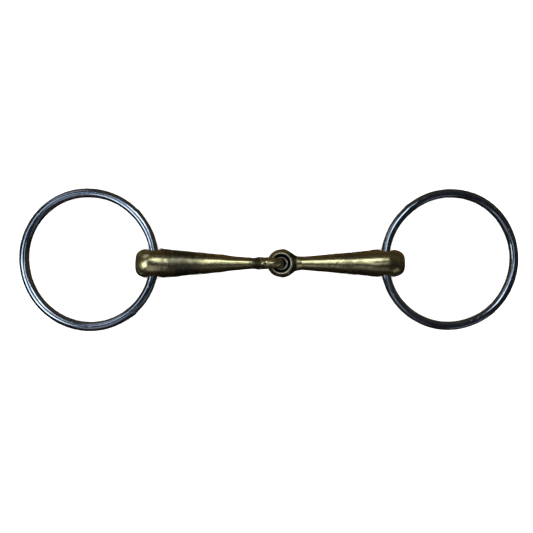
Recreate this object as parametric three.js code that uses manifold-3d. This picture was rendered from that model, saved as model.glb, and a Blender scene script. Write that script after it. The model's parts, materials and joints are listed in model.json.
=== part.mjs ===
// A single-jointed loose ring snaffle bit: two steel rings, and two cast cannons that meet in interlinked
// eyes. Millimetres, +Z up. The bit lies on the plane z = 0, with the mouthpiece along X and the rings'
// centres on y = 0.

import * as THREE from 'three';
import { mergeVertices } from 'three/addons/utils/BufferGeometryUtils.js';
import Module from 'manifold-3d';

const wasm = await Module();
wasm.setup();

// Driving dimensions
const HOLE_SPACING = 130.4; // ring hole to ring hole along the mouthpiece
const EYE_SPACING = 6.9; // between the centres of the two interlinked eyes
const LEFT_ARM = 64.7; // left ring hole to left eye centre
const RING_RADIUS = 37.5; // ring centreline, so 80 mm outside
const WIRE_RADIUS = 2.5;
const WIRE_SLACK = 0.5; // the wire sits this far inward of its hole's axis
const RING_SLIP = 2.1; // the rings have slid this far through their holes, towards +Y
const BUTT_RADIUS = 8.3; // thick end of the left cannon
const CORNER_POWER = 2.8; // how square the thick end's corner is: 2 is an ellipse
const EYE_RADIUS = 5.95; // centreline of each eye
const EYE_HALF_BAND = 1.9; // the eye's bar, across its ring
const EYE_HALF_THICKNESS = 3.1; // the eye's bar, along the eye's axis
const EYE_STRETCH = 2.0; // the left eye is longer than it is wide by this much, away from its arm
const BORE_RADIUS = 3.4; // ring hole at the middle of the cannon
const BORE_STRAIGHT = 4.5; // half length of the hole's straight part
const BORE_MOUTH_RADIUS = 4.7; // where the hole's flare leaves the cannon

// Worked out from them
const RIGHT_ARM = HOLE_SPACING - EYE_SPACING - LEFT_ARM;
const AXIS_HEIGHT = BUTT_RADIUS;
const FAR_WIRE = 2 * RING_RADIUS - WIRE_SLACK;
const RING_DROOP = Math.asin((AXIS_HEIGHT - WIRE_RADIUS) / FAR_WIRE); // lowers each ring's far side to z = 0

// How finely the round shapes are cut
const CANNON_SIDES = 32;
const CORNER_STEPS = 7;
const TAPER_STEPS = 24;
const EYE_STEPS = 36;
const EYE_SIDES = 14;
const RING_STEPS = 72;
const RING_SIDES = 12;

// The cannon narrows in a nearly straight taper, [distance from the eye's centre, radius], then flares to
// the eye.
const TAPER = [[48, 7.0], [38, 6.1], [25, 4.9], [15, 3.95], [12, 3.8]];
const FLARE = [[9.6, 4.0], [7.4, 4.8], [5.2, 6.0], [2.9, 7.1], [1.5, 7.55]];

// Towards the eye the cannon is flattened along the eye's axis, from this distance inward.
const FLAT_REACH = 8;
const FLAT_SLOPE = 0.11;

const brassAlloy = new THREE.MeshStandardMaterial({ color: 0x8c7d4a, metalness: 1, roughness: 0.32 });
const polishedSteel = new THREE.MeshStandardMaterial({ color: 0xb4bcc8, metalness: 1, roughness: 0.16 });

const LEFT = -1;
const RIGHT = 1;

/** The closed manifold-3d solid of a geometry, with its shared vertices merged. */
function solid(geometry) {
  const bare = geometry.clone();
  bare.deleteAttribute('normal');
  bare.deleteAttribute('uv');
  const merged = mergeVertices(bare, 1e-4);
  const vertProperties = new Float32Array(merged.attributes.position.array);
  const triVerts = new Uint32Array(merged.index.array);
  return new wasm.Manifold(new wasm.Mesh({ numProp: 3, vertProperties, triVerts }));
}

/** The three.js geometry of a manifold-3d solid. */
function geometryOf(manifold) {
  const { vertProperties, triVerts } = manifold.getMesh();
  const geometry = new THREE.BufferGeometry();
  geometry.setAttribute('position', new THREE.BufferAttribute(vertProperties, 3));
  geometry.setIndex(new THREE.BufferAttribute(triVerts, 1));
  geometry.computeVertexNormals();
  return geometry;
}

/** The thick end's corner, a squarish quarter oval from the edge of the flat end to the full radius. */
function buttCorner({ buttRadius, endReach, endFlat }) {
  const points = [];
  for (let i = 0; i <= CORNER_STEPS; i += 1) {
    const turn = (Math.PI / 2) * (i / CORNER_STEPS);
    const across = Math.sin(turn) ** (2 / CORNER_POWER);
    const along = i < CORNER_STEPS ? Math.cos(turn) ** (2 / CORNER_POWER) : 0;
    points.push(new THREE.Vector2(endFlat + (buttRadius - endFlat) * across, -endReach * along));
  }
  return points;
}

/** Half of a cannon's outline as (radius, distance from the ring hole), from its flat end into the eye. */
function cannonOutline(shape) {
  const { arm, buttRadius, endReach } = shape;
  const taper = [new THREE.Vector2(buttRadius, 0), new THREE.Vector2(buttRadius - 0.3, 6.5)];
  for (const [fromEye, radius] of [...TAPER, ...FLARE]) {
    taper.push(new THREE.Vector2(radius, arm - fromEye));
  }
  const side = new THREE.SplineCurve(taper).getPoints(TAPER_STEPS).slice(1);
  const last = side[side.length - 1];
  return [
    new THREE.Vector2(0, -endReach),
    ...buttCorner(shape),
    ...side,
    new THREE.Vector2(0, last.y),
  ];
}

/** The body of a cannon along +X, turned from its outline and flattened towards the eye. */
function cannonBody(shape) {
  const outline = cannonOutline(shape);
  const geometry = new THREE.LatheGeometry(outline, CANNON_SIDES);
  geometry.rotateZ(-Math.PI / 2);
  const point = new THREE.Vector3();
  const position = geometry.attributes.position;
  for (let i = 0; i < position.count; i += 1) {
    point.fromBufferAttribute(position, i);
    const fromEye = shape.arm - point.x;
    const limit = EYE_HALF_THICKNESS + FLAT_SLOPE * Math.max(0, fromEye - FLAT_REACH);
    const radius = Math.hypot(point.y, point.z);
    point[shape.eyeAxis] *= Math.min(1, limit / Math.max(radius, limit));
    position.setXYZ(i, point.x, point.y, point.z);
  }
  return geometry;
}

/** The ring hole along Y: a straight middle that opens out in a flare at both mouths. */
function ringBore() {
  const reach = BUTT_RADIUS + 1;
  const bell = (sign) => new THREE.QuadraticBezierCurve(
    new THREE.Vector2(BORE_RADIUS, sign * BORE_STRAIGHT),
    new THREE.Vector2(BORE_RADIUS + 0.1, sign * (BUTT_RADIUS - 1.5)),
    new THREE.Vector2(BORE_MOUTH_RADIUS, sign * reach),
  ).getPoints(4);
  const ends = [new THREE.Vector2(0, -reach), new THREE.Vector2(0, reach)];
  return new THREE.LatheGeometry([ends[0], ...bell(-1).reverse(), ...bell(1), ends[1]], 28);
}

/** The eye's ring of oval bar, and the plug that clears its middle, both stretched along the arm. */
function eyeParts({ arm, eyeAxis, eyeStretch }) {
  const ring = new THREE.TorusGeometry(EYE_RADIUS, EYE_HALF_BAND, EYE_SIDES, EYE_STEPS);
  ring.scale(1, 1, EYE_HALF_THICKNESS / EYE_HALF_BAND);
  const plug = new THREE.CylinderGeometry(EYE_RADIUS, EYE_RADIUS, 4 * BUTT_RADIUS, EYE_STEPS);
  plug.rotateX(Math.PI / 2);
  for (const geometry of [ring, plug]) {
    if (eyeAxis === 'y') geometry.rotateX(Math.PI / 2);
    geometry.scale(1 + eyeStretch / 2 / EYE_RADIUS, 1, 1);
    geometry.translate(arm + eyeStretch / 2, 0, 0);
  }
  return { ring: solid(ring), plug: solid(plug) };
}

/** One cast cannon, with its ring hole at the origin and its eye at +X. */
function cannon(name, shape) {
  const eye = eyeParts(shape);
  const body = solid(cannonBody(shape)).subtract(eye.plug).add(eye.ring).subtract(solid(ringBore()));
  const mesh = new THREE.Mesh(geometryOf(body), brassAlloy);
  mesh.name = name;
  return mesh;
}

/** One closed steel ring, hung in its hole and drooping until its far side rests on z = 0. */
function looseRing(name, side) {
  const geometry = new THREE.TorusGeometry(RING_RADIUS, WIRE_RADIUS, RING_SIDES, RING_STEPS);
  const mesh = new THREE.Mesh(geometry, polishedSteel);
  mesh.name = name;
  mesh.position.set(side * (RING_RADIUS - WIRE_SLACK), RING_SLIP, 0);
  const hung = new THREE.Group();
  hung.position.x = side * HOLE_SPACING / 2;
  hung.rotation.y = side * RING_DROOP;
  hung.add(mesh);
  return hung;
}

const leftCannon = cannon('cannon_left', {
  arm: LEFT_ARM,
  buttRadius: BUTT_RADIUS,
  endReach: 9.8,
  endFlat: 2.6,
  eyeAxis: 'y',
  eyeStretch: EYE_STRETCH,
});
leftCannon.position.x = LEFT * HOLE_SPACING / 2;

const rightCannon = cannon('cannon_right', {
  arm: RIGHT_ARM,
  buttRadius: BUTT_RADIUS - 0.4,
  endReach: 10.4,
  endFlat: 2.0,
  eyeAxis: 'z',
  eyeStretch: 0,
});
rightCannon.position.x = RIGHT * HOLE_SPACING / 2;
rightCannon.rotation.z = Math.PI;

const bit = new THREE.Group();
bit.position.set(0, -RING_SLIP, AXIS_HEIGHT);
bit.add(leftCannon, rightCannon, looseRing('ring_left', LEFT), looseRing('ring_right', RIGHT));

export default bit;
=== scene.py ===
"""A single-jointed loose ring snaffle bit on a pale floor, seen from straight above.

The two cannons are smooth implicit solids: a turned, flattened taper, an eye of oval bar and a flared
ring hole, blended and turned into meshes. The rings are swept wire. Every part is made in millimetres
and scaled to metres at the end.
"""

import json
import math

import bpy
import numpy as np
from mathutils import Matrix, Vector


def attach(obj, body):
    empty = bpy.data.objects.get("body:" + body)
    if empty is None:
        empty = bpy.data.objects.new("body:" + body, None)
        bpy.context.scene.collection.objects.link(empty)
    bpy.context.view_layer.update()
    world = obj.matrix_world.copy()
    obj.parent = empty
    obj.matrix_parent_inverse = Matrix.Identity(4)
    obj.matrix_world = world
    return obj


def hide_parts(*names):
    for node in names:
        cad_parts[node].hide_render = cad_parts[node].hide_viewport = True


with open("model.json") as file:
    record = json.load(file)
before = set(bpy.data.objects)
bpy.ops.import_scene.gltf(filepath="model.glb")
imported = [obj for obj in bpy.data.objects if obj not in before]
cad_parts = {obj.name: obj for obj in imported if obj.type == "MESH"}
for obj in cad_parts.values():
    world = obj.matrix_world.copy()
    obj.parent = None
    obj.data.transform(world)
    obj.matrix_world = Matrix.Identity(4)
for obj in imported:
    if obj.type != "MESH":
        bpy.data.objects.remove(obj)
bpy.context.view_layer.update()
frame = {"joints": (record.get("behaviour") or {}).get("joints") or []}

MM = 0.001
JOINTS = {joint["name"]: np.array(joint["pos_m"]) / MM for joint in frame["joints"]}

# Driving sizes in millimetres, the same as those of the part's solids
EYE_SPACING = 6.9  # between the centres of the two interlinked eyes
EYE_OUTER = 7.85  # outside radius of the eyes
EYE_STRETCH = 2.0  # the left eye is longer than it is wide by this much, away from its arm
RING_RADIUS = 37.5  # centreline
WIRE_SLACK = 0.5  # the wire sits this far inward of its hole's axis
RING_SLIP = 2.1  # the rings have slid this far through their holes, towards +Y
BORE_RADIUS = 3.4  # ring hole at the middle of the cannon
BORE_STRAIGHT = 4.5  # half length of the hole's straight part
CORNER_POWER = 2.8  # how square the thick end's corner is: 2 is an ellipse

# Finer shaping, in millimetres where nothing else is said
EYE_EDGE_POWER = 1.25  # how pointed the eye bar's oval section is at its crest: 2 is an ellipse
EYE_FILLET = 1.6  # where the arm runs into the eye's bar
EYE_LIP_ROUND = 1.0  # where the eye's hole cuts the arm's end
BORE_FLARE = 0.065  # how fast the ring hole's mouths open, per millimetre squared
BORE_EDGE_ROUND = 0.9
BURR_PLACE = 3.6  # how far from the ring hole's axis the burr at its mouth stands
BURR_SIZE = 1.3
BUTT_SLOPE = 0.4  # how much more the thick end falls away on top and below than at its sides, as a share
MARK_RISE = 3.0  # how slowly a swelling on a ring's wire starts along it
MARK_DROP = 0.5  # and how fast it ends
NET_STEP = 0.3  # the cannons' mesh size

# The cannons' sides, as (distance from the eye's centre, radius), down to where the eye swallows them
TAPER = [(47, 6.95), (42, 6.45), (36, 5.9), (28, 5.15), (20, 4.4), (15, 3.95), (12, 3.85)]
LEFT_FLARE = [
    (10.9, 3.8), (10.1, 3.62), (9.2, 3.5), (8.2, 3.5), (7.5, 3.7), (6.9, 4.3),
    (6.2, 5.05), (4.6, 6.65), (3.5, 7.6), (2.6, 7.85),
]
RIGHT_FLARE = [(9.6, 4.05), (7.4, 4.8), (5.2, 5.9), (2.9, 7.0), (1.0, 7.5)]

# Half their thickness along the eye's own axis, against the distance from the eye's centre
LEFT_THICKNESS = [(-9, 3.1), (0, 3.1), (8, 3.1), (15, 3.6), (26, 5.1), (36, 9.0)]
RIGHT_THICKNESS = [
    (-9, 2.8), (0, 2.8), (6.5, 2.85), (8.5, 3.1), (10.5, 3.6), (13, 4.15), (16, 4.7), (22, 9.0),
]


# ---------------------------------------------------------------- implicit solids

def smooth_min(a, b, radius):
    """The lower of two fields, rounded where they meet, as a fillet."""
    overlap = np.maximum(radius - np.abs(a - b), 0) / radius
    return np.minimum(a, b) - overlap * overlap * radius / 4


def smooth_max(a, b, radius):
    """The higher of two fields, rounded where they meet, as a worn edge."""
    return -smooth_min(-a, -b, radius)


def smooth_curve(knots, at):
    """A smooth curve through (position, value) knots, held level beyond both ends."""
    x, y = np.array(knots, float).T
    slope = np.gradient(y, x)
    slope[[0, -1]] = 0
    at = np.clip(at, x[0], x[-1])
    i = np.clip(np.searchsorted(x, at) - 1, 0, len(x) - 2)
    span = x[i + 1] - x[i]
    t = (at - x[i]) / span
    return (
        (1 + 2 * t) * (1 - t) ** 2 * y[i]
        + t * (1 - t) ** 2 * span * slope[i]
        + t * t * (3 - 2 * t) * y[i + 1]
        + t * t * (t - 1) * span * slope[i + 1]
    )


def outline(arm, butt_radius, end_reach, end_flat, flare):
    """A cannon's side as (distances along it, radii): a squarish corner, then a curve into the eye."""
    turn = np.linspace(0, math.pi / 2, 60)
    corner_s = -end_reach * np.cos(turn).clip(0) ** (2 / CORNER_POWER)
    corner_r = end_flat + (butt_radius - end_flat) * np.sin(turn) ** (2 / CORNER_POWER)
    knots = [(-3.0, butt_radius), (0.0, butt_radius), (6.5, butt_radius - 0.3)]
    knots += [(arm - from_eye, radius) for from_eye, radius in TAPER + flare]
    fine = np.linspace(0, knots[-1][0] - 0.01, 260)[1:]
    return np.concatenate([corner_s, fine]), np.concatenate([corner_r, smooth_curve(knots, fine)])


class TurnedField:
    """Signed distance to a turned solid, looked up in a table over distance along the axis and from it."""

    STEP = 0.1
    BEFORE, BEYOND, OUTWARD = 4.0, 14.0, 16.0  # how far the table goes past both ends, and from the axis

    def __init__(self, s, r):
        self.low = np.array([s[0] - self.BEFORE, 0.0])
        along = np.arange(self.low[0], s[-1] + self.BEYOND, self.STEP)
        away = np.arange(0.0, self.OUTWARD, self.STEP)
        points = np.stack(np.meshgrid(along, away, indexing="ij"), -1)
        line = np.stack([np.r_[s[0], s, s[-1]], np.r_[0.0, r, 0.0]], -1)
        best = np.full(points.shape[:2], 1e9)
        for a, b in zip(line[:-1], line[1:]):
            edge = b - a
            t = np.clip(((points - a) @ edge) / max(edge @ edge, 1e-12), 0, 1)
            best = np.minimum(best, np.linalg.norm(points - a - t[..., None] * edge, axis=-1))
        radius = np.interp(along, s, r, left=-1, right=-1)[:, None]
        self.table = np.where(away[None, :] < radius, -best, best)
        self.radius = lambda x: np.interp(x, s, r)

    def __call__(self, along, away):
        at = (np.stack([along, away], -1) - self.low) / self.STEP
        at = np.clip(at, 0, np.array(self.table.shape) - 1.001)
        i = at.astype(int)
        u, v = np.moveaxis(at - i, -1, 0)
        i, j = np.moveaxis(i, -1, 0)
        table = self.table
        near = table[i, j] * (1 - v) + table[i, j + 1] * v
        far = table[i + 1, j] * (1 - v) + table[i + 1, j + 1] * v
        return near * (1 - u) + far * u


def hand_finish(seed, waves, wavelength, height):
    """A gentle unevenness from filing and polishing by hand: a few plane waves in seeded directions."""
    rng = np.random.default_rng(seed)
    way = rng.normal(size=(waves, 3))
    way /= np.linalg.norm(way, axis=1, keepdims=True)
    way *= 2 * math.pi / (wavelength * rng.uniform(0.7, 1.5, (waves, 1)))
    phase = rng.uniform(0, 2 * math.pi, waves)
    share = height / math.sqrt(waves)
    return lambda p: share * sum(np.sin(p @ w + f) for w, f in zip(way, phase))


def oval_bar(band, height, half_band, half_height):
    """Distance to a bar whose section is an oval, more pointed at its crest than an ellipse."""
    u, v = np.abs(band) / half_band + 1e-6, np.abs(height) / half_height + 1e-6
    power = EYE_EDGE_POWER
    size = (u**power + v**power) ** (1 / power)
    steepness = size ** (1 - power) * np.hypot(u ** (power - 1) / half_band, v ** (power - 1) / half_height)
    return (size - 1) / np.maximum(steepness, 0.1)


def cannon_field(
    arm, butt_radius, end_reach, end_flat, flare, thickness, eye, eye_axis, stretch, seed, burr
):
    """One cannon in its own frame, with its ring hole along Y at the origin and its eye at +X.

    eye_axis is the eye's own axis, 1 for Y and 2 for Z. eye is (radius of the bar's centreline, half the
    bar's band, half its thickness), and burr is the height of the lip at one mouth of the ring hole.
    """
    turned = TurnedField(*outline(arm, butt_radius, end_reach, end_flat, flare))
    plane_axis = 3 - eye_axis
    eye_radius, half_band, half_height = eye
    lengthen = 1 + stretch / 2 / eye_radius
    broad = hand_finish(seed, waves=10, wavelength=12.0, height=0.07)
    fine = hand_finish(seed + 1, waves=14, wavelength=3.6, height=0.008)

    def field(p):
        x, thick, wide = p[..., 0], p[..., eye_axis], p[..., plane_axis]
        limit = smooth_curve(thickness, arm - x)
        squeeze = np.maximum(1, turned.radius(x) / limit)
        fall = 1 + BUTT_SLOPE * np.minimum(0, x / end_reach) ** 2
        squeeze_y = squeeze if eye_axis == 1 else 1.0
        squeeze_z = fall * (squeeze if eye_axis == 2 else 1.0)
        y, z = p[..., 1] * squeeze_y, p[..., 2] * squeeze_z
        away = np.sqrt(y**2 + z**2) + 1e-9
        steepness = np.sqrt((y * squeeze_y) ** 2 + (z * squeeze_z) ** 2) / away + 1e-6
        body = turned(x, away) / np.maximum(steepness, 0.5)
        from_eye = np.hypot((x - arm - stretch / 2) / lengthen, wide)
        body = smooth_max(body, eye_radius - from_eye, EYE_LIP_ROUND)
        bar = oval_bar(from_eye - eye_radius, thick, half_band, half_height)
        whole = smooth_min(body, bar, EYE_FILLET)
        flare = BORE_FLARE * np.maximum(0, np.abs(p[..., 1]) - BORE_STRAIGHT) ** 2
        bore = BORE_RADIUS + flare - np.hypot(x, p[..., 2])
        worn = smooth_max(whole + broad(p), bore, BORE_EDGE_ROUND)
        from_lip = p - np.array([BURR_PLACE, butt_radius, 0.0])
        lip = burr * np.exp(-(from_lip**2).sum(-1) / BURR_SIZE**2)
        return worn - lip + fine(p)

    return field


# ---------------------------------------------------------------- meshes

def surface_net(field, low, high, step):
    """Vertices and quads of the field's zero surface: one vertex in each grid cell that it crosses."""
    axes = [np.arange(a, b + step, step) for a, b in zip(low, high)]
    nodes = np.stack(np.meshgrid(*axes, indexing="ij"), -1)
    value = field(nodes)
    cells = tuple(n - 1 for n in value.shape)
    total, count = np.zeros(cells + (3,)), np.zeros(cells, int)
    crossings = []
    for axis in range(3):
        start = np.take(value, range(value.shape[axis] - 1), axis)
        end = np.take(value, range(1, value.shape[axis]), axis)
        edge = np.argwhere((start < 0) != (end < 0))
        first = tuple(edge.T)
        place = nodes[first].copy()
        place[:, axis] += step * start[first] / (start[first] - end[first])
        one, two = (axis + 1) % 3, (axis + 2) % 3
        inner = (edge[:, one] > 0) & (edge[:, two] > 0)
        inner &= (edge[:, one] < cells[one]) & (edge[:, two] < cells[two])
        edge, place = edge[inner], place[inner]
        corners = []
        for back_one, back_two in ((1, 1), (0, 1), (0, 0), (1, 0)):
            cell = edge.copy()
            cell[:, one] -= back_one
            cell[:, two] -= back_two
            np.add.at(total, tuple(cell.T), place)
            np.add.at(count, tuple(cell.T), 1)
            corners.append(np.ravel_multi_index(tuple(cell.T), cells))
        quads = np.stack(corners, 1)
        outward = start[tuple(edge.T)] < 0
        crossings.append(np.where(outward[:, None], quads, quads[:, ::-1]))
    used = np.flatnonzero(count)
    number = np.full(count.size, -1)
    number[used] = np.arange(len(used))
    vertices = (total.reshape(-1, 3)[used]) / count.ravel()[used, None]
    return vertices, number[np.concatenate(crossings)]


def settle(field, vertices, quads):
    """Evens out the quads along the surface and puts every vertex exactly on it."""
    evening_rounds, exact_rounds = 3, 2
    longest_move, least_slope_squared = 0.3, 0.2
    h = 0.02  # half the span that the field's slope is measured over
    steps = h * np.eye(3)
    pairs = np.concatenate([quads[:, [i, (i + 1) % 4]] for i in range(4)])
    pairs = np.concatenate([pairs, pairs[:, ::-1]])
    degree = np.bincount(pairs[:, 0], minlength=len(vertices))[:, None]
    for turn in range(evening_rounds + exact_rounds):
        if turn < evening_rounds:
            mean = np.zeros_like(vertices)
            np.add.at(mean, pairs[:, 0], vertices[pairs[:, 1]])
            vertices = 0.5 * vertices + 0.5 * mean / degree
        slope = np.stack([field(vertices + d) - field(vertices - d) for d in steps], -1) / (2 * h)
        move = field(vertices) / np.maximum((slope**2).sum(-1), least_slope_squared)
        vertices = vertices - np.clip(move, -longest_move, longest_move)[:, None] * slope
    return vertices


def new_piece(name, vertices, faces, material):
    """A smooth-shaded piece from vertices in millimetres, with its origin at the frame's."""
    mesh = bpy.data.meshes.new(name)
    mesh.from_pydata((vertices * MM).tolist(), [], faces.tolist())
    mesh.validate()
    mesh.polygons.foreach_set("use_smooth", [True] * len(mesh.polygons))
    mesh.materials.append(material)
    piece = bpy.data.objects.new(name, mesh)
    bpy.context.scene.collection.objects.link(piece)
    return piece


def cannon_piece(name, joint, facing, material, **shape):
    """facing is +1 for a cannon whose eye lies towards +X and -1 for one turned half round about Z."""
    field = cannon_field(**shape)
    margin = 0.8
    reach = shape["butt_radius"] + margin
    low = np.array([-shape["end_reach"] - margin, -reach, -reach])
    high = np.array([shape["arm"] + EYE_OUTER + 1.5 * shape["stretch"] + margin, reach, reach])
    vertices, quads = surface_net(field, low, high, NET_STEP)
    vertices = settle(field, vertices, quads)
    turn = np.array([facing, facing, 1])
    return new_piece(name, vertices * turn + joint, quads, material)


def ring_piece(name, joint, side, material, spread, oval, wire, marks, seed):
    """Closed wire, bent a little out of round.

    spread is how much wider than its nominal radius it has been bent, and oval how far it is pulled out
    along the diagonal. wire is (mean radius, change, where it is thickest in degrees from +X), and marks
    are (degrees, height) of the ground weld and of the tool marks from bending. A mark rises slowly, over
    MARK_RISE, and drops over MARK_DROP.
    """
    around, sides = 480, 48
    a = np.linspace(0, 2 * math.pi, around, endpoint=False)
    b = np.linspace(0, 2 * math.pi, sides, endpoint=False)
    phase = np.random.default_rng(seed).uniform(0, 2 * math.pi, 3)
    radius = RING_RADIUS + spread * (1 + side * np.cos(a)) / 2
    radius += oval * np.sin(2 * a) + 0.05 * np.cos(3 * a + phase[0]) + 0.03 * np.cos(7 * a + phase[1])
    mean, change, thickest = wire
    thick = mean + change * np.cos(a - math.radians(thickest)) + 0.02 * np.cos(5 * a + phase[2])
    thick = np.repeat(thick[:, None], sides, 1)
    for at, height in marks:
        arc = np.radians((np.degrees(a) - at + 180) % 360 - 180) * RING_RADIUS
        shape = np.exp(-((arc / np.where(arc < 0, MARK_RISE, MARK_DROP)) ** 2))
        thick += height * shape[:, None] * (np.maximum(0, np.cos(b)) ** 2)[None, :]
    away = radius[:, None] + thick * np.cos(b)
    x, y, z = away * np.cos(a)[:, None], away * np.sin(a)[:, None], thick * np.sin(b)
    flat = np.stack([x, y, z], -1).reshape(-1, 3)
    flat += [side * (RING_RADIUS - WIRE_SLACK), RING_SLIP, 0]
    lowest = thick[:, 3 * sides // 4].max()
    droop = math.asin((joint[2] - lowest) / (np.abs(flat[:, 0]).max() - lowest))
    c, s = math.cos(droop), side * math.sin(droop)
    tilt = np.array([[c, 0, s], [0, 1, 0], [-s, 0, c]])
    i, j = np.meshgrid(np.arange(around), np.arange(sides), indexing="ij")
    i2, j2 = (i + 1) % around, (j + 1) % sides
    faces = np.stack([i * sides + j, i2 * sides + j, i2 * sides + j2, i * sides + j2], -1).reshape(-1, 4)
    return new_piece(name, flat @ tilt.T + joint, faces, material)


# ---------------------------------------------------------------- materials

class Nodes:
    """A material's node tree, built with short calls."""

    def __init__(self, name):
        self.material = bpy.data.materials.new(name)
        self.material.use_nodes = True
        self.tree = self.material.node_tree
        self.shader = self.tree.nodes["Principled BSDF"]
        self.place = self.add("ShaderNodeTexCoord").outputs["Object"]

    def add(self, kind, **settings):
        node = self.tree.nodes.new(kind)
        for key, value in settings.items():
            setattr(node, key, value)
        return node

    def put(self, value, socket):
        if isinstance(value, bpy.types.NodeSocket):
            self.tree.links.new(value, socket)
        else:
            socket.default_value = value

    def stretched(self, scale):
        mapping = self.add("ShaderNodeMapping")
        self.put(self.place, mapping.inputs["Vector"])
        mapping.inputs["Scale"].default_value = scale
        return mapping.outputs["Vector"]

    def noise(self, size_mm, detail=3.0, rough=0.55, stretch=(1, 1, 1)):
        """Noise from 0 to 1, with features of about size_mm, longer on an axis whose stretch is under 1."""
        node = self.add("ShaderNodeTexNoise")
        self.put(self.stretched([k / (size_mm * MM) for k in stretch]), node.inputs["Vector"])
        node.inputs["Scale"].default_value = 1.0
        node.inputs["Detail"].default_value = detail
        node.inputs["Roughness"].default_value = rough
        return node.outputs["Fac"]

    def ramp(self, value, low, high, low_to=0.0, high_to=1.0):
        """A smooth step from low_to to high_to while value goes from low to high."""
        node = self.add("ShaderNodeMapRange", interpolation_type="SMOOTHSTEP")
        limits = {"From Min": low, "From Max": high, "To Min": low_to, "To Max": high_to}
        for socket, number in limits.items():
            node.inputs[socket].default_value = number
        self.put(value, node.inputs["Value"])
        return node.outputs["Result"]

    def within(self, value, start, full, fade, end):
        """1 where value lies between full and fade, falling smoothly to 0 at start and end."""
        return self.math("MULTIPLY", self.ramp(value, start, full), self.ramp(value, fade, end, 1, 0))

    def math(self, operation, a, b):
        node = self.add("ShaderNodeMath", operation=operation)
        self.put(a, node.inputs[0])
        self.put(b, node.inputs[1])
        return node.outputs[0]

    def mix(self, share, a, b):
        node = self.add("ShaderNodeMix", data_type="RGBA")
        self.put(share, node.inputs["Factor"])
        self.put(a if isinstance(a, bpy.types.NodeSocket) else (*a, 1), node.inputs[6])
        self.put(b if isinstance(b, bpy.types.NodeSocket) else (*b, 1), node.inputs[7])
        return node.outputs[2]

    def bump(self, height, depth_mm, strength, under=None):
        node = self.add("ShaderNodeBump")
        node.inputs["Strength"].default_value = strength
        node.inputs["Distance"].default_value = depth_mm * MM
        self.put(height, node.inputs["Height"])
        if under is not None:
            self.put(under, node.inputs["Normal"])
        return node.outputs["Normal"]


def distance_from(n, centre):
    """Millimetres from an upright axis through centre, a little uneven."""
    offset = n.add("ShaderNodeVectorMath", operation="SUBTRACT")
    n.put(n.place, offset.inputs[0])
    offset.inputs[1].default_value = centre * MM
    flat = n.add("ShaderNodeVectorMath", operation="MULTIPLY")
    n.put(offset.outputs[0], flat.inputs[0])
    flat.inputs[1].default_value = (1 / MM, 1 / MM, 0)
    length = n.add("ShaderNodeVectorMath", operation="LENGTH")
    n.put(flat.outputs[0], length.inputs[0])
    return n.math("ADD", length.outputs["Value"], n.ramp(n.noise(1.5), 0.3, 0.7, -0.15, 0.15))


def brass_masks(n):
    """Four masks from 0 to 1 for the looks of the brass alloy, placed in millimetres as the bit lies.

    dull is fine-pitted metal on the left and a faint smudge of it on the right, the second is painted shade
    on the necks, crest a painted highlight atop the right eye, and the last painted shade and grime in the
    joint.
    """
    split = n.add("ShaderNodeSeparateXYZ")
    n.put(n.place, split.inputs[0])
    along = n.math("DIVIDE", split.outputs["X"], MM)
    height = n.math("DIVIDE", split.outputs["Z"], MM)
    ragged = n.math("ADD", along, n.ramp(n.noise(4, 4, 0.65), 0.3, 0.7, -6, 6))
    from_eye = distance_from(n, right_eye)

    smudge = n.math("MULTIPLY", n.within(ragged, 33, 42, 47, 56), 0.45)
    dull = n.math("MAXIMUM", n.within(ragged, -65, -51, -52, -24), smudge)

    # Painted shade: darkens the necks' colour, over the left lug and just short of the right eye.
    left_neck = n.ramp(n.within(along, -10.6, -9.6, -5.6, -4.7), 0, 1, 0.0, 0.82)
    right_neck = n.within(along, 10.4, 11.4, 14.6, 15.8)
    outside_eye = n.ramp(from_eye, 6.2, 6.9)
    neck_shade = n.math("MULTIPLY", n.math("MAXIMUM", left_neck, right_neck), outside_eye)

    # Painted highlight: a brighter ring of colour along the right eye's crest.
    eye_top = n.within(from_eye, 5.15, 5.45, 5.75, 6.05)
    below_left_eye_top = n.ramp(height, 11.4, 11.8, 1, 0)
    crest = n.math("MULTIPLY", eye_top, below_left_eye_top)

    # Painted shade, with some grime: darker inside the joint, down low and on its far side.
    inside_eye = n.ramp(from_eye, 4.7, 5.4, 1, 0)
    sunken = n.ramp(height, 11, 15, 1, 0)
    far_side = n.ramp(along, right_eye[0] + 0.4, right_eye[0] + 1.4)
    grime_and_shade = n.math("MULTIPLY", inside_eye, n.math("MAXIMUM", sunken, far_side))
    return dull, neck_shade, crest, grime_and_shade


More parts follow.
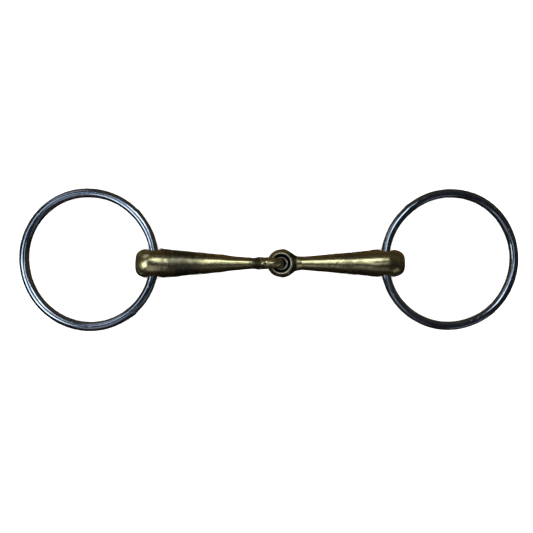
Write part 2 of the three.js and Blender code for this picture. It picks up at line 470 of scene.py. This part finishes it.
def brass_alloy():
    """Cast brass alloy, polished by hand, dull in stretches, with painted shade at the necks and grimy
    joint and a painted crest highlight.
    """
    n = Nodes("brass_alloy")
    dull, neck_shade, crest, grime_and_shade = brass_masks(n)
    patches = n.ramp(n.noise(7, 4, 0.6), 0.40, 0.66)
    speckle = n.ramp(n.noise(1.0, 4, 0.65), 0.45, 0.62)

    colour = n.mix(patches, (0.86, 0.71, 0.355), (0.76, 0.62, 0.305))
    colour = n.mix(n.math("MULTIPLY", dull, 0.9), colour, (0.092, 0.082, 0.057))
    speckled = n.math("MULTIPLY", speckle, n.ramp(dull, 0, 1, 0.08, 0.6))
    colour = n.mix(speckled, colour, (0.27, 0.23, 0.14))
    # Painted shade on the necks.
    colour = n.mix(neck_shade, colour, (0.065, 0.057, 0.030))
    # Painted highlight on the right eye's crest.
    colour = n.mix(n.math("MULTIPLY", crest, 0.8), colour, (1.0, 0.95, 0.74))
    # Painted shade, with some grime, inside the joint.
    colour = n.mix(grime_and_shade, colour, n.mix(speckle, (0.030, 0.023, 0.015), (0.075, 0.055, 0.034)))
    n.put(colour, n.shader.inputs["Base Color"])

    rough = n.ramp(patches, 0, 1, 0.22, 0.27)
    for mask, added in ((dull, 0.10), (crest, 0.16), (neck_shade, 0.20), (grime_and_shade, 0.12)):
        rough = n.math("ADD", rough, n.ramp(mask, 0, 1, 0.0, added))
    n.put(rough, n.shader.inputs["Roughness"])
    n.shader.inputs["Metallic"].default_value = 1.0

    pits = n.ramp(n.noise(0.8, 3, 0.6), 0.34, 0.48)
    normal = n.bump(n.math("MULTIPLY", pits, n.ramp(dull, 0, 1, 0.15, 1.0)), 0.02, 0.4)
    polishing_lines = n.noise(0.35, 3, 0.6, stretch=(0.12, 1, 1))
    normal = n.bump(polishing_lines, 0.004, 0.4, normal)
    n.put(normal, n.shader.inputs["Normal"])
    return n.material


def polished_steel():
    """Bright steel wire with fine rubbing scratches and a faint haze from handling."""
    n = Nodes("polished_steel")
    haze = n.ramp(n.noise(7, 4, 0.6), 0.40, 0.70)
    n.put(n.mix(haze, (0.53, 0.56, 0.62), (0.42, 0.45, 0.52)), n.shader.inputs["Base Color"])
    n.put(n.ramp(haze, 0, 1, 0.10, 0.17), n.shader.inputs["Roughness"])
    n.shader.inputs["Metallic"].default_value = 1.0
    nicks = n.ramp(n.noise(1.0, 2, 0.5), 0.64, 0.72)
    normal = n.bump(nicks, 0.08, 0.6)
    normal = n.bump(n.noise(0.5, 4, 0.7), 0.003, 0.4, normal)
    n.put(normal, n.shader.inputs["Normal"])
    return n.material


def floor_paper():
    n = Nodes("floor_paper")
    tone = n.ramp(n.noise(40, 2), 0.3, 0.7)
    n.put(n.mix(tone, (0.90, 0.90, 0.90), (0.92, 0.92, 0.92)), n.shader.inputs["Base Color"])
    n.shader.inputs["Roughness"].default_value = 0.9
    return n.material


# ---------------------------------------------------------------- the bit

left_hole = JOINTS["left_ring_swing"]
right_hole = JOINTS["right_ring_swing"]
right_eye = JOINTS["mouth_joint"]

brass = brass_alloy()
steel = polished_steel()

cannon_left = cannon_piece(
    "left_cannon", left_hole, 1, brass,
    arm=right_eye[0] - EYE_SPACING - left_hole[0], butt_radius=8.3, end_reach=9.8, end_flat=2.6,
    flare=LEFT_FLARE, thickness=LEFT_THICKNESS, eye=(5.95, 1.9, 3.1),
    eye_axis=1, stretch=EYE_STRETCH, seed=11, burr=0.5,
)
cannon_right = cannon_piece(
    "right_cannon", right_hole, -1, brass,
    arm=right_hole[0] - right_eye[0], butt_radius=7.9, end_reach=10.4, end_flat=2.0,
    flare=RIGHT_FLARE, thickness=RIGHT_THICKNESS, eye=(5.75, 2.1, 2.9),
    eye_axis=2, stretch=0.0, seed=23, burr=0.0,
)
ring_left = ring_piece(
    "left_loose_ring", left_hole, -1, steel,
    spread=0.6, oval=-0.36, wire=(2.58, 0.12, 205), marks=[(-49, 0.38), (44.5, 0.28)], seed=5,
)
ring_right = ring_piece(
    "right_loose_ring", right_hole, 1, steel,
    spread=0.0, oval=0.45, wire=(2.42, 0.04, 95), marks=[(-49.5, 0.2), (131, 0.28)], seed=8,
)

for piece, body, node, slot in (
    (cannon_left, "left_half", "cannon_left", "mouthpiece"),
    (cannon_right, "right_half", "cannon_right", "mouthpiece"),
    (ring_left, "left_ring", "ring_left", "rings"),
    (ring_right, "right_ring", "ring_right", "rings"),
):
    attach(piece, body)
    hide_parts(node)


# ---------------------------------------------------------------- floor, light and camera

def make_floor():
    half = 0.32
    corners = [(-half, -half, 0), (half, -half, 0), (half, half, 0), (-half, half, 0)]
    mesh = bpy.data.meshes.new("floor")
    mesh.from_pydata(corners, [], [(0, 1, 2, 3)])
    mesh.materials.append(floor_paper())
    floor = bpy.data.objects.new("floor", mesh)
    bpy.context.scene.collection.objects.link(floor)
    floor.visible_glossy = False


def soft_box(name, place, width, height, radiance, colour, lights, aim=(0, 0, 0)):
    """A rectangular soft box that faces the bit. It lights the floor, or is mirrored in the metal."""
    lamp = bpy.data.lights.new(name, "AREA")
    lamp.shape = "RECTANGLE"
    lamp.size, lamp.size_y = width, height
    lamp.energy = 4 * radiance * width * height  # watts: a lamp's radiance is a quarter of them per area
    lamp.color = colour
    box = bpy.data.objects.new(name, lamp)
    box.location = place
    box.rotation_euler = (Vector(aim) - Vector(place)).to_track_quat("-Z", "Y").to_euler()
    box.visible_camera = False
    box.visible_diffuse = lights == "floor"
    box.visible_glossy = lights == "metal"
    bpy.context.scene.collection.objects.link(box)


def towards(azimuth, from_zenith, distance):
    """A point at this azimuth from +X and angle from straight up, in degrees, seen from the bit."""
    a, z = math.radians(azimuth), math.radians(from_zenith)
    out, up = distance * math.sin(z), distance * math.cos(z)
    return (out * math.cos(a), out * math.sin(a), up)


WHITE = (1.0, 1.0, 1.0)
SKY = (0.84, 1.00, 1.13)
SHADE = (0.76, 0.97, 1.28)
HAZE = (0.90, 0.97, 1.16)


def make_lights():
    """Two rings of boxes light the floor with hardly a shadow; a few more are what the metal mirrors."""
    for i in range(6):
        soft_box(f"floor_near_{i}", towards(30 + 60 * i, 13, 0.38), 0.06, 0.06, 31.0, WHITE, "floor")
        soft_box(f"floor_far_{i}", towards(60 * i, 24, 1.0), 0.24, 0.24, 7.0, WHITE, "floor")
    left_ring = (-0.12, -0.01, 0.0)
    soft_box("window", (0.0, 0.235, 0.430), 0.24, 0.15, 2.0, SKY, "metal")
    soft_box("window_edge", (-0.030, 0.09, 0.46), 0.08, 0.13, 1.7, SKY, "metal")
    soft_box("upper_left", (-0.14, 0.12, 0.26), 0.09, 0.09, 0.7, SKY, "metal")
    soft_box("side_window", (-0.28, -0.057, 0.19), 0.14, 0.12, 1.8, SKY, "metal", left_ring)
    soft_box("side_glow", (-0.25, 0.04, 0.22), 0.09, 0.09, 0.7, SHADE, "metal", left_ring)
    soft_box("right_roof", (0.075, -0.02, 0.45), 0.13, 0.10, 0.50, SKY, "metal")
    soft_box("far_left_sky", (-0.42, 0.42, 0.24), 0.30, 0.22, 0.32, SKY, "metal")
    soft_box("near_right_sky", (0.42, -0.42, 0.19), 0.30, 0.20, 0.15, SKY, "metal")
    soft_box("near_right", (0.07, -0.25, 0.22), 0.13, 0.16, 0.08, HAZE, "metal")
    soft_box("near_ceiling", (-0.26, -0.50, 0.62), 0.44, 0.55, 0.22, HAZE, "metal")


# What the metal mirrors beyond the boxes: (height from -1 straight down to 1 straight up, colour)
FAR_ROOM = [
    (-1.0, (0.015, 0.012, 0.009)), (-0.5, (0.070, 0.052, 0.028)), (-0.14, (0.080, 0.060, 0.034)),
    (0.03, (0.010, 0.008, 0.006)), (0.30, (0.060, 0.054, 0.044)), (1.0, (0.009, 0.013, 0.020)),
]
NEAR_ROOM = [
    (-1.0, (0.010, 0.009, 0.008)), (-0.1, (0.010, 0.008, 0.006)), (0.2, (0.018, 0.016, 0.014)),
    (1.0, (0.007, 0.010, 0.016)),
]


def make_world():
    """White where the camera looks past the floor, and a dim room in what the metal mirrors.

    The near room gives way to the far room while the mirrored direction goes from -0.2 to 0.3 in Y.
    """
    world = bpy.data.worlds.new("room")
    bpy.context.scene.world = world
    world.use_nodes = True
    tree = world.node_tree
    tree.nodes.clear()
    split = tree.nodes.new("ShaderNodeSeparateXYZ")
    tree.links.new(tree.nodes.new("ShaderNodeTexCoord").outputs["Generated"], split.inputs[0])
    height = tree.nodes.new("ShaderNodeMapRange")
    height.inputs["From Min"].default_value = -1.0
    tree.links.new(split.outputs["Z"], height.inputs["Value"])
    depth = tree.nodes.new("ShaderNodeMapRange")
    depth.inputs["From Min"].default_value = -0.2
    depth.inputs["From Max"].default_value = 0.3
    tree.links.new(split.outputs["Y"], depth.inputs["Value"])
    both = tree.nodes.new("ShaderNodeMix")
    both.data_type = "RGBA"
    tree.links.new(depth.outputs["Result"], both.inputs[0])
    for socket, stops in ((6, NEAR_ROOM), (7, FAR_ROOM)):
        ramp = tree.nodes.new("ShaderNodeValToRGB")
        for i, (level, colour) in enumerate(stops):
            stop = ramp.color_ramp.elements[i] if i < 2 else ramp.color_ramp.elements.new((level + 1) / 2)
            stop.position = (level + 1) / 2
            stop.color = (*colour, 1)
        tree.links.new(height.outputs["Result"], ramp.inputs[0])
        tree.links.new(ramp.outputs[0], both.inputs[socket])
    room = tree.nodes.new("ShaderNodeBackground")
    tree.links.new(both.outputs[2], room.inputs["Color"])
    backdrop = tree.nodes.new("ShaderNodeBackground")
    backdrop.inputs["Color"].default_value = (1, 1, 1, 1)
    choice = tree.nodes.new("ShaderNodeMixShader")
    tree.links.new(tree.nodes.new("ShaderNodeLightPath").outputs["Is Camera Ray"], choice.inputs[0])
    tree.links.new(room.outputs[0], choice.inputs[1])
    tree.links.new(backdrop.outputs[0], choice.inputs[2])
    tree.links.new(choice.outputs[0], tree.nodes.new("ShaderNodeOutputWorld").inputs["Surface"])


def make_camera():
    """Straight down from 350 mm, a little towards the near side of the mouthpiece."""
    height, lens, sensor = 0.350, 41.1, 36.0
    data = bpy.data.cameras.new("camera")
    data.lens, data.sensor_width = lens, sensor
    data.clip_start = 0.01
    camera = bpy.data.objects.new("camera", data)
    camera.location = (-0.0018, -0.0039, height)
    bpy.context.scene.collection.objects.link(camera)
    bpy.context.scene.camera = camera


make_floor()
make_world()
make_lights()
make_camera()

bpy.context.scene.view_settings.view_transform = "Standard"
